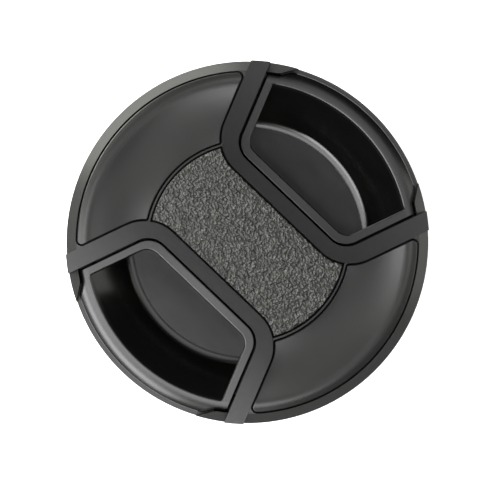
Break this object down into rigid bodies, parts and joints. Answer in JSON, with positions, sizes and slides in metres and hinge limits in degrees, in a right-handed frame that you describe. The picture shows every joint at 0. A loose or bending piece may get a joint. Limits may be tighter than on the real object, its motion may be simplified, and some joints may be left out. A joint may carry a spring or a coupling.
{
  "type": "camera lens cap",
  "caption": "Round clip-in cap for a camera lens, with sprung finger levers in its front face that pinch inwards to release toothed catches from the filter thread.",
  "frame": {"origin": "centre of the back plate's rear face, on the cap's axis", "axes": "+Z out of the front face, X along the line on which the levers are pinched, Y through the wings"},
  "size_m": [0.062, 0.062, 0.01],
  "materials": {
    "front_plastic": "satin black moulding, leather grain on the centre panel",
    "lever_plastic": "smooth black moulding",
    "back_plastic": "fine matte black",
    "spring_steel": "bright drawn wire"
  },
  "bodies": {
    "cap_body": {"front_body": "front_plastic", "back_plate": "back_plastic", "spring_right_upper": "spring_steel", "spring_right_lower": "spring_steel", "spring_left_upper": "spring_steel", "spring_left_lower": "spring_steel"},
    "right_lever": {"lever_right": "lever_plastic"},
    "left_lever": {"lever_left": "lever_plastic"}
  },
  "joints": [
    {"name": "right_pinch", "type": "slide", "parent": "cap_body", "child": "right_lever", "axis": [-1, 0, 0], "range_m": [0, 0.0025], "stiffness_N_per_m": 800, "springref_m": -0.003, "deforming": ["spring_right_upper", "spring_right_lower"]},
    {"name": "left_pinch", "type": "slide", "parent": "cap_body", "child": "left_lever", "axis": [1, 0, 0], "range_m": [0, 0.0025], "stiffness_N_per_m": 800, "springref_m": -0.003, "deforming": ["spring_left_upper", "spring_left_lower"]}
  ]
}
